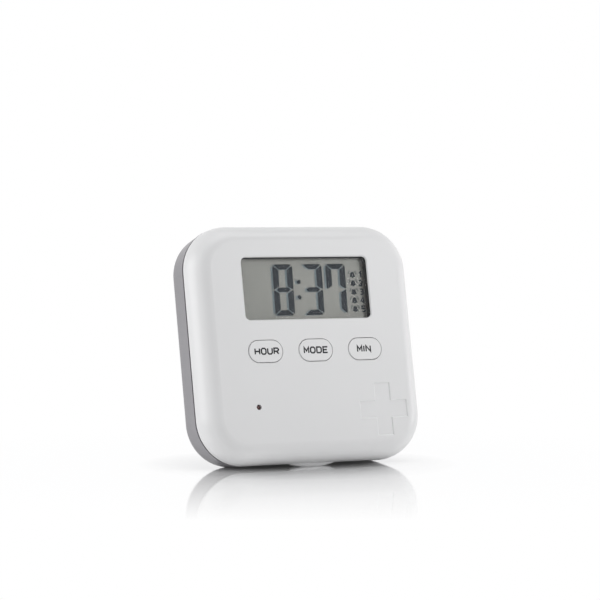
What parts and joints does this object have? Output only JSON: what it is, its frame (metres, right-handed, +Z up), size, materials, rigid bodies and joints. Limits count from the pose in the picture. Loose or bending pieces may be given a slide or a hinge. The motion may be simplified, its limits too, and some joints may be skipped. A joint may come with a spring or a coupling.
{
  "type": "pill box with alarm clock",
  "caption": "Square pill box that stands leaning back on a fold-out stand, with an alarm clock display and push buttons in its hinged lid over a divided pill tray.",
  "frame": {"origin": "on the floor, in the middle of the sole under the base's lower back edge", "axes": "+Z up from the floor, the display looks towards -Y and leans back, +X to the display's right as seen from the front"},
  "size_m": [0.09, 0.0403, 0.0876],
  "materials": {
    "white_shell": "satin moulded",
    "button_plastic": "satin moulded",
    "inner_white": "matte moulded",
    "grey_shell": "fine moulded texture",
    "tray_plastic": "smooth moulded",
    "clear_window": "polished clear plastic",
    "lcd_glass": "reflective display",
    "black_foam": "matte",
    "green_board": "solder resist",
    "black_resin": "moulded",
    "red_lamp": "clear resin",
    "sounder_brass": "rolled",
    "sounder_ceramic": "silvered",
    "cell_steel": "bright nickel",
    "screw_steel": "plated"
  },
  "bodies": {
    "base": {"rear_shell": "grey_shell", "pill_tray": "tray_plastic", "tray_divider": "tray_plastic", "hinge_pin": "screw_steel"},
    "lid": {"front_shell": "white_shell", "lid_back_cover": "inner_white", "lid_screws": "screw_steel", "battery_door": "inner_white", "battery_door_screw": "screw_steel", "lcd_window": "clear_window", "lcd_gasket": "black_foam", "lcd_panel": "lcd_glass", "lcd_holder": "inner_white", "zebra_strip": "black_foam", "main_board": "green_board", "board_screws": "screw_steel", "controller_blob": "black_resin", "tact_switches": "black_resin", "alarm_led": "red_lamp", "sounder_plate": "sounder_brass", "sounder_ceramic": "sounder_ceramic", "coin_cell": "cell_steel", "negative_contact": "cell_steel", "positive_contact": "cell_steel"},
    "stand": {"stand": "grey_shell"},
    "hour_button": {"hour_button": "button_plastic", "hour_switch_stem": "black_resin"},
    "mode_button": {"mode_button": "button_plastic", "mode_switch_stem": "black_resin"},
    "min_button": {"min_button": "button_plastic", "min_switch_stem": "black_resin"}
  },
  "joints": [
    {"name": "lid_hinge", "type": "hinge", "parent": "base", "child": "lid", "pos_m": [0, 0.00668, 0.08541], "axis": [-1, 0, 0], "range_deg": [0, 110]},
    {"name": "stand_fold", "type": "hinge", "parent": "base", "child": "stand", "pos_m": [0, 0.01088, 0.04371], "axis": [-1, 0, 0], "range_deg": [0, 24.5]},
    {"name": "hour_press", "type": "slide", "parent": "lid", "child": "hour_button", "axis": [0, 0.9796, -0.2011], "range_m": [0, 0.0006], "stiffness_N_per_m": 400},
    {"name": "mode_press", "type": "slide", "parent": "lid", "child": "mode_button", "axis": [0, 0.9796, -0.2011], "range_m": [0, 0.0006], "stiffness_N_per_m": 400},
    {"name": "min_press", "type": "slide", "parent": "lid", "child": "min_button", "axis": [0, 0.9796, -0.2011], "range_m": [0, 0.0006], "stiffness_N_per_m": 400}
  ]
}
